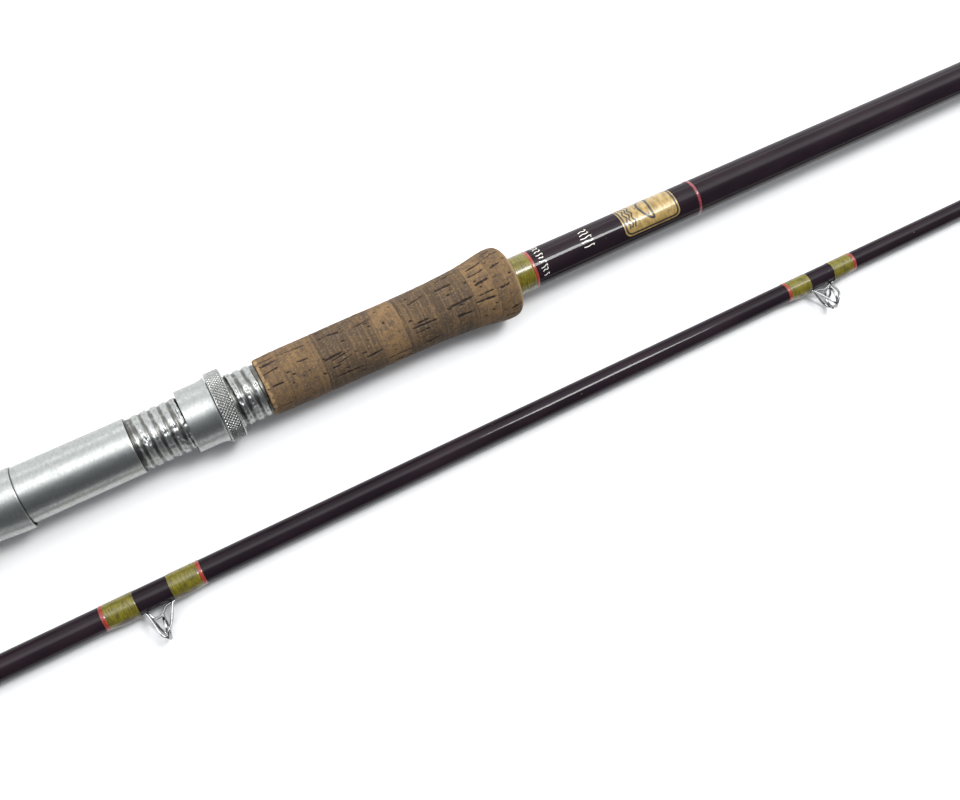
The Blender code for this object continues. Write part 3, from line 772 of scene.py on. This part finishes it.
def ring_of(node, section):
    """A ring's place along its section, its radius and its height over the section's axis."""
    low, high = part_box(node)
    axis, middle = SECTIONS[section], (low + high) / 2
    height = math.hypot(middle.y - axis.y, middle.z - axis.z) / MM
    return ((low.x + high.x) / 2 - axis.x) / MM, (high.z - low.z) / 2 / MM, height


def guide_place(section, x):
    """The frame a guide is drawn in: x along the rod, z out the way the guide points."""
    return (
        Matrix.Translation(SECTIONS[section] + Vector((x * MM, 0, 0)))
        @ Matrix.Rotation(GUIDE_ROLL[section], 4, "X")
    )


def bead_mesh(name, spots):
    """Small smooth lumps of solder, as one mesh of spheres."""
    points, faces = [], []
    rows, columns = 8, 12
    for centre, size in spots:
        base = len(points)
        for i in range(rows + 1):
            for j in range(columns):
                up, turn = math.pi * (i + 0.02) / (rows + 0.04), TURN * j / columns
                away = Vector((math.sin(up) * math.cos(turn), math.sin(up) * math.sin(turn),
                               math.cos(up)))
                points.append([c + s * a for c, s, a in zip(centre, size, away)])
        for i in range(rows):
            for j in range(columns):
                n = (j + 1) % columns
                a, b = base + i * columns, base + (i + 1) * columns
                faces.append([a + j, b + j, b + n, a + n])
        faces.append([base + j for j in range(columns)])
        faces.append([base + rows * columns + j for j in reversed(range(columns))])
    return mesh_from(name, points, faces, None, 60)


def rounded_ring(name, radius, bore, half, place, section, node):
    """A ring with a rounded section, drawn round the x axis of its place."""
    steps, sides = 16, 72
    turn = np.arange(steps) * TURN / steps
    middle, deep = (radius + bore) / 2, (radius - bore) / 2
    # A squarish section: the power keeps its faces nearly flat and its edges round.
    along = half * np.sign(np.cos(turn)) * np.abs(np.cos(turn)) ** 0.6
    out = middle + deep * np.sign(np.sin(turn)) * np.abs(np.sin(turn)) ** 0.6
    x, angle = grid(along[::-1], sides)
    r = np.repeat(out[::-1][:, None], sides, axis=1)
    mesh = mesh_from(name, skin_points(x, angle, r), ring_faces(steps, sides), None, 60)
    finish_piece(name, mesh, place, section, CHROME, [node])


def foot_mesh(name, first, last, low, blank, width, thick):
    """Two flattened feet lying along the blank, thinning towards the ends under the windings."""
    points, faces = [], []
    sides = 14
    for inner, outer in (first, last):
        base = len(points)
        rows = 10
        for i in range(rows + 1):
            share = i / rows
            x = inner + (outer - inner) * share
            half = width * (1 - 0.45 * smooth(share)) * (0.9 if i in (0, rows) else 1)
            deep = thick * (1 - 0.65 * smooth(share)) * (0.8 if i in (0, rows) else 1)
            for j in range(sides):
                turn = TURN * j / sides
                y = half * math.cos(turn)
                settle = blank - math.sqrt(max(blank**2 - y**2, 0))
                points.append((x, y, low - settle + deep * (0.5 + 0.5 * math.sin(turn))))
        for i in range(rows):
            for j in range(sides):
                n = (j + 1) % sides
                quad = [base + i * sides + j, base + i * sides + n,
                        base + (i + 1) * sides + n, base + (i + 1) * sides + j]
                faces.append(quad if outer < inner else quad[::-1])
        near = [base + j for j in range(sides)]
        far = [base + rows * sides + j for j in range(sides)]
        faces.append(near[::-1] if outer < inner else near)
        faces.append(far if outer < inner else far[::-1])
    return mesh_from(name, points, faces, None, 50)


RING_WALL = 0.7
RING_LEAN = math.radians(6)


def make_guide(name, section):
    """A bridge guide: ring, four struts, a U-shaped cradle, feet, solder and both windings."""
    rear_start, first = stretch_of(name + "_rear_winding", section)
    last = stretch_of(name + "_front_winding", section)[0]
    length, span = first - rear_start, last - first
    station, ring_radius, height = ring_of(name + "_ring", section)
    wire = {"butt_guide": 0.75, "second_guide": 0.65}.get(name, 0.5 if ring_radius > 4.4 else 0.45)
    blank = float(blank_radius(section, station))
    low = blank + 0.05
    seat = low + wire
    rear, front = first - station + 1.2, last - station - 1.2
    half = 0.5 * ring_radius / 4.6
    clear = ring_radius + wire * 0.8
    beside = half + wire
    lean = math.sin(RING_LEAN)

    def rim(side, degrees, along, reach):
        """A point beside the leaning ring, at an angle from its top."""
        out = reach * math.cos(math.radians(degrees))
        return along - lean * out, side * reach * math.sin(math.radians(degrees)), height + out

    # Each strut's foot, then its turn from the ring's top and its place along the rod where it
    # bends, touches the ring and ends, and the same of its bead of solder with the bead's size.
    struts = (
        (rear, -1, 0.5, (78, -beside - 0.35 * ring_radius, 0.8 * clear), (50, -beside + 0.15),
         (30, -0.05), (12, 0.0), (24, 0.0), (0.55, 0.6, 0.5)),
        (front, 1, 0.4, (110, beside + 0.3 * ring_radius, 0.75 * clear), (82, beside - 0.15),
         (62, 0.05), (48, 0.1), (58, 0.1), (0.5, 0.6, 0.55)),
    )
    paths, spots = [], []
    for side in (-1, 1):
        for foot, way, lead, bend, upper, touch, end, bead, size in struts:
            paths.append([
                (foot + way, side * 0.42, seat - 0.2), (foot - way * lead, side * 0.6, seat + 0.1),
                rim(side, *bend), rim(side, *upper, clear), rim(side, *touch, clear),
                rim(side, *end, clear - 0.1),
            ])
            spots.append((rim(side, *bead, ring_radius + 0.1), size))
    under = height - clear
    peak = height - 0.95 * ring_radius - 0.2
    cradle = [(rear - 1.0, 0.0, seat - 0.1), (rear + 0.8, 0.0, seat + 0.2)]
    cradle += [(-0.25 * span, 0.0, seat + 0.6 * (peak - seat)), (-0.14 * span, 0.0, peak)]
    cradle += [(0.02 * span, 0.0, under), (0.13 * span, 0.0, seat + 0.55 * (under - seat))]
    cradle += [(0.24 * span, 0.0, seat + 0.3), (front + 1.0, 0.0, seat - 0.1)]
    paths.append(cradle)
    spots.append(((0.02 * span + 0.3, 0.0, under + 0.35), (0.7, 0.5, 0.45)))
    spots += [((rear - 0.2, 0.0, seat - 0.05), (1.1, 0.95, 0.42)),
              ((front + 0.2, 0.0, seat - 0.05), (1.1, 0.95, 0.42))]
    place = guide_place(section, station)
    wires(name + "_wires", section, paths, wire, [name + "_frame"], place)
    reach = 0.75 * length
    feet = foot_mesh(name + "_feet", (rear + 0.5, rear - reach), (front - 0.5, front + reach),
                     low, blank, 1.2, 0.55)
    for mesh in (feet, bead_mesh(name + "_solder", spots)):
        finish_piece(mesh.name, mesh, place, section, CHROME)
    turn = Matrix.Translation((0, 0, height * MM)) @ Matrix.Rotation(-RING_LEAN, 4, "Y")
    rounded_ring(name + "_eye", ring_radius, ring_radius - RING_WALL, half, place @ turn, section,
                 name + "_ring")
    tipping = 1.5 if ring_radius > 4 else 1.2
    for label, inner, outward in (("rear", first, -1), ("front", last, 1)):
        outer = inner + outward * length
        change = outer - outward * tipping
        hump = foot_hump(inner, outward, length, GUIDE_ROLL[section])
        winding(f"{name}_{label}_silk", section, *sorted((inner, change)), THREAD,
                [f"{name}_{label}_winding"], hump)
        winding(f"{name}_{label}_tipping", section, *sorted((change, outer)), RED_THREAD, (), hump)


def make_tip_top():
    """The tip-top: a thin tube over the rod's end, three braces and a ring."""
    start, end = stretch_of("tip_top_tube", TIP)
    tube_end = start + 16.0
    radius = float(blank_radius(TIP, start))
    xs = edged(start, end, (0, 0.1, 0.25), np.linspace(start + 0.5, end - 0.4, 12),
               (0.2, 0.06, 0.0))
    x, angle = grid(xs, 48)
    outer = radius + 0.75 - lip(x, start, 0.25) - lip(x, end, 0.2)
    turned_piece("tip_top_sleeve", (x, angle, outer), (radius + 0.12, radius - 0.2), TIP, "guide",
                 CHROME, "tip_top_tube", section=TIP)
    ring_x, ring_radius, height = ring_of("tip_top_ring", TIP)
    clear = ring_radius + 0.3
    paths = []
    turn = math.radians(100)
    for side in (-1, 1):
        paths.append([
            (start + 2.0 - ring_x, side * 0.75, radius + 0.8),
            (start + 5.0 - ring_x, side * 1.1, radius + 1.5),
            (-2.5, side * 0.98 * clear, height - 0.4),
            (0.0, side * clear * math.sin(turn), height + clear * math.cos(turn)),
        ])
    paths.append([
        (start + 4.0 - ring_x, 0.0, radius + 0.9),
        (-1.5, 0.0, radius + 1.0),
        (0.2, 0.0, height - ring_radius - 0.2),
        (tube_end - 1.2 - ring_x, 0.0, radius + 0.9),
    ])
    place = guide_place(TIP, ring_x)
    wires("tip_top_braces", TIP, paths, 0.4, [], place)
    rounded_ring("tip_top_eye", ring_radius, ring_radius - RING_WALL, 0.6,
                 place @ Matrix.Translation((0, 0, height * MM)), TIP, "tip_top_ring")


def wrapped_piece(name, quads, lift, thick, material, nodes=()):
    """Thin plates laid round the butt blank. A quad is four (x, distance round) corners in mm."""
    points, faces = [], []
    for quad in quads:
        base = len(points)
        for layer in (lift, lift + thick):
            for x, across in quad:
                radius = float(blank_radius(BUTT, x)) + layer
                angle = across / (radius - layer)
                points.append((x, -radius * math.sin(angle), radius * math.cos(angle)))
        faces += [[base, base + 1, base + 2, base + 3], [base + 7, base + 6, base + 5, base + 4]]
        for i in range(4):
            n = (i + 1) % 4
            faces.append([base + n, base + i, base + 4 + i, base + 4 + n])
    mesh = mesh_from(name, points, faces, None, 30)
    finish_piece(name, mesh, BUTT, BUTT, material, nodes)


def stroke_quads(line, width):
    """A line of (x, distance round) points as a row of quads that share their corners."""
    points = [Vector(p) for p in line]
    closed = (points[0] - points[-1]).length < 1e-6
    ends = (points[-2], points[1]) if closed else (points[0], points[-1])
    chain = [ends[0], *points, ends[1]]
    sides = []
    for before, point, after in zip(chain, points, chain[2:]):
        way = (after - before).normalized()
        across = Vector((-way.y, way.x)) * width / 2
        sides.append((point + across, point - across))
    return [(a[0], b[0], b[1], a[1]) for a, b in zip(sides, sides[1:])]


LABEL_FROM, LABEL_TO = math.radians(-95), math.radians(40)
LABEL_CORNER = 2.6
KEYLINE_INSET, KEYLINE_CORNER = 0.9, 2.2
FISH_REACH, FISH_BEND = 6.1, 0.055


def make_label():
    """A gold transfer with a generic black design: a keyline, a leaping fish and three waves."""
    start, end = stretch_of("label", BUTT)
    middle = (start + end) / 2
    radius = float(blank_radius(BUTT, middle))
    low, high = LABEL_FROM * radius, LABEL_TO * radius
    columns, rows = 48, 12
    quads = []
    # Its corners are round: each line across it is shorter the nearer it is to an end.
    near = [LABEL_CORNER * (1 - math.cos(math.pi * i / 12)) for i in range(6)]
    flat = [LABEL_CORNER + (end - start - 2 * LABEL_CORNER) * i / rows for i in range(rows + 1)]
    places = [start + at for at in near + flat] + [end - at for at in reversed(near)]
    for first, last in zip(places, places[1:]):
        lines = []
        for x in (first, last):
            inward = max(LABEL_CORNER - min(x - start, end - x), 0)
            cut = LABEL_CORNER - math.sqrt(max(LABEL_CORNER**2 - inward**2, 0))
            reach = high - low - 2 * cut
            lines.append([(x, low + cut + reach * j / columns) for j in range(columns + 1)])
        for j in range(columns):
            quads.append((lines[0][j], lines[0][j + 1], lines[1][j + 1], lines[1][j]))
    wrapped_piece("gold_label", quads, 0.03, 0.05, GOLD, ["label"])
    centre = (LABEL_FROM * 0.55 + LABEL_TO * 0.45) * radius
    inset, corner = KEYLINE_INSET, KEYLINE_CORNER
    box = [(start + inset, low + 1.0), (end - inset, low + 1.0),
           (end - inset, high - inset), (start + inset, high - inset)]
    line = []
    for index, (x, y) in enumerate(box):
        inward = Vector((middle, (low + high) / 2)) - Vector((x, y))
        hub = Vector((x + math.copysign(corner, inward.x), y + math.copysign(corner, inward.y)))
        for step in range(7):
            turn = math.radians(180 + 90 * index + 15 * step)
            line.append((hub.x + corner * math.cos(turn), hub.y + corner * math.sin(turn)))
    line.append(line[0])
    dense = []
    for a, b in zip(line, line[1:]):
        count = max(int(math.dist(a, b) / 0.8), 1)
        dense += [(a[0] + (b[0] - a[0]) * k / count, a[1] + (b[1] - a[1]) * k / count)
                  for k in range(count)]
    dense.append(dense[0])
    strokes = [(dense, 0.8)]
    fish = []
    for step in range(49):
        t = TURN * step / 48
        reach = FISH_REACH * math.cos(t)
        girth = 2.3 * math.sin(t) * (1 - 0.25 * math.cos(t))
        bend = FISH_BEND * reach * reach
        fish.append((middle - 1.2 + girth + bend, centre + reach))
    fish.append(fish[0])
    strokes.append((fish, 1.05))
    tail = centre - FISH_REACH
    bow = middle - 1.2 + FISH_BEND * FISH_REACH**2
    strokes.append(([(bow, tail), (bow + 2.4, tail - 2.0), (bow + 0.6, tail - 1.7),
                     (bow - 1.7, tail - 2.4), (bow, tail)], 0.42))
    strokes.append(([(middle - 0.6, centre + 4.1), (middle - 0.3, centre + 3.6)], 0.7))
    strokes.append(([(middle - 3.3, centre + 1.4), (middle - 5.0, centre - 0.6),
                     (middle - 3.2, centre - 1.6)], 0.4))
    for row in range(3):
        wave = []
        for step in range(37):
            across = centre - 6.6 + 13.2 * step / 36
            wave.append((start + 2.6 + 1.5 * row + 0.42 * math.sin(across * 1.7 + row), across))
        strokes.append((wave, 0.7))
    quads = [quad for line, width in strokes for quad in stroke_quads(line, width)]
    wrapped_piece("label_print", quads, 0.085, 0.02, BLACK_INK)


def make_ink_marks():
    """Two short rows of generic white pen strokes across the blank."""
    chance = np.random.default_rng(5)
    quads = []
    for at, low, count, long in ((567.7, -9.0, 9, 1.5), (588.8, -5.6, 5, 2.5)):
        for number in range(count):
            across = low + 1.75 * number + chance.uniform(-0.2, 0.2)
            reach = long * chance.uniform(0.65, 1.1)
            lean = chance.uniform(-0.5, 0.5)
            hook = chance.uniform(0.4, 0.9) * chance.choice((-1, 1))
            line = [(at - reach, across - lean), (at - 0.2 * reach, across + 0.4 * hook),
                    (at + 0.5 * reach, across - 0.2 * hook), (at + reach, across + lean)]
            line += [(at + 0.8 * reach, across + lean + hook)]
            quads += stroke_quads(line, 0.34)
    wrapped_piece("ink_marks", quads, 0.02, 0.03, WHITE_INK)


# ---------------------------------------------------------------- floor, light and camera


def make_floor():
    """A plain pale floor, far wider than the rod."""
    mesh = bpy.data.meshes.new("floor")
    size, drop = 12.0, 0.0002
    mesh.from_pydata([(-size, -size, 0), (size, -size, 0), (size, size, 0), (-size, size, 0)], [],
                     [(0, 1, 2, 3)])
    floor = add_object("floor", mesh)
    floor.location.z = -drop
    made = Finish("pale_floor", Roughness=0.9, Specular_IOR_Level=0.1)
    made.feed("Base Color", made.mix(made.noise(400.0), (0.80, 0.80, 0.80), (0.83, 0.83, 0.83)))
    mesh.materials.append(made.material)


LAMP_AIM = Vector((0.56, -0.03, 0))
LAMP_OVER = Vector((0.40, 0.21, 1.1))
LAMP_SIZE = (0.26, 0.32)
LAMP_POWER = 8.0


def add_lamp():
    """A small lamp nearly overhead, aimed in front of the label, for the crisp highlights."""
    data = bpy.data.lights.new("lamp", "AREA")
    data.shape = "RECTANGLE"
    data.size, data.size_y = LAMP_SIZE
    data.energy = LAMP_POWER
    lamp = add_object("lamp", data)
    aim = SECTIONS[BUTT] + LAMP_AIM
    place = aim + LAMP_OVER
    lamp.location = place
    lamp.rotation_euler = (aim - place).to_track_quat("-Z", "Y").to_euler()


CAMERA_LENS, CAMERA_SENSOR = 41.25, 36.0
CAMERA_TILT = math.radians(12.98)
CAMERA_ROLL = math.radians(25.14)
CAMERA_FROM_BUTT = Vector((423.2, -39.4, 427.9)) * MM


def make_camera():
    """About half a metre over the rods, tilted along them towards the butt."""
    data = bpy.data.cameras.new("camera")
    data.lens = CAMERA_LENS
    data.sensor_width = CAMERA_SENSOR
    data.clip_start = 0.01
    camera = add_object("camera", data)
    along = Vector((math.cos(CAMERA_TILT), 0, math.sin(CAMERA_TILT)))
    side = Vector((0, 1, 0))
    right = along * math.cos(CAMERA_ROLL) - side * math.sin(CAMERA_ROLL)
    up = along * math.sin(CAMERA_ROLL) + side * math.cos(CAMERA_ROLL)
    back = right.cross(up)
    turn = Matrix((right, up, back)).transposed().to_4x4()
    camera.matrix_world = Matrix.Translation(SECTIONS[BUTT] + CAMERA_FROM_BUTT) @ turn
    bpy.context.scene.camera = camera
    bpy.context.scene.view_settings.view_transform = "Standard"


# The sky's brightness by the angle from straight up, in degrees, positive towards +Y: a big soft
# light on the far side and a dim room on the near side.
SKY = ((-90, 0.14), (-60, 0.14), (-36, 0.16), (-20, 0.22), (-8, 0.38), (0, 0.80), (6, 2.2),
       (12, 3.3), (26, 3.3), (36, 2.2), (46, 1.4), (56, 1.15), (73, 1.2), (78, 2.4), (80, 4.6),
       (82, 2.4), (86, 1.2), (90, 1.1))
SKY_TOP = 4.6


def make_sky():
    """A sky whose brightness depends only on the angle round the rods."""
    world = bpy.data.worlds.new("studio")
    world.use_nodes = True
    tree = world.node_tree
    place = add_node(tree, "TexCoord").outputs["Generated"]
    split = add_node(tree, "SeparateXYZ", Vector=place).outputs
    turn = add_math(tree, "ARCTAN2", split["Y"], split["Z"])
    share = add_node(tree, "MapRange", Value=turn, From_Min=-math.pi / 2, From_Max=math.pi / 2)
    colours = add_node(tree, "ValToRGB", Fac=share.outputs["Result"])
    ramp = colours.color_ramp
    ramp.interpolation = "EASE"
    ramp.elements.remove(ramp.elements[1])
    for index, (angle, level) in enumerate(SKY):
        at = (angle + 90) / 180
        element = ramp.elements[0] if index == 0 else ramp.elements.new(at)
        element.position = at
        tint = (0.86, 0.91, 1.0) if angle < 0 else (0.97, 0.985, 1.0)
        element.color = (*(share * level / SKY_TOP for share in tint), 1)
    background = tree.nodes["Background"]
    put(tree, colours.outputs["Color"], background.inputs["Color"])
    background.inputs["Strength"].default_value = SKY_TOP
    bpy.context.scene.world = world


make_camera()
make_floor()
make_sky()
add_lamp()
make_blank(BUTT, "butt_blank")
make_blank(TIP, "tip_blank", sides=64)
make_spigot()
make_button()
make_grips()
make_barrel()
make_fixed_hood()
make_sliding_hood()
make_locking_ring()
make_windings()
make_label()
make_ink_marks()
for section_name, names in GUIDES.items():
    for guide_name in names:
        make_guide(guide_name, section_name)
make_tip_top()
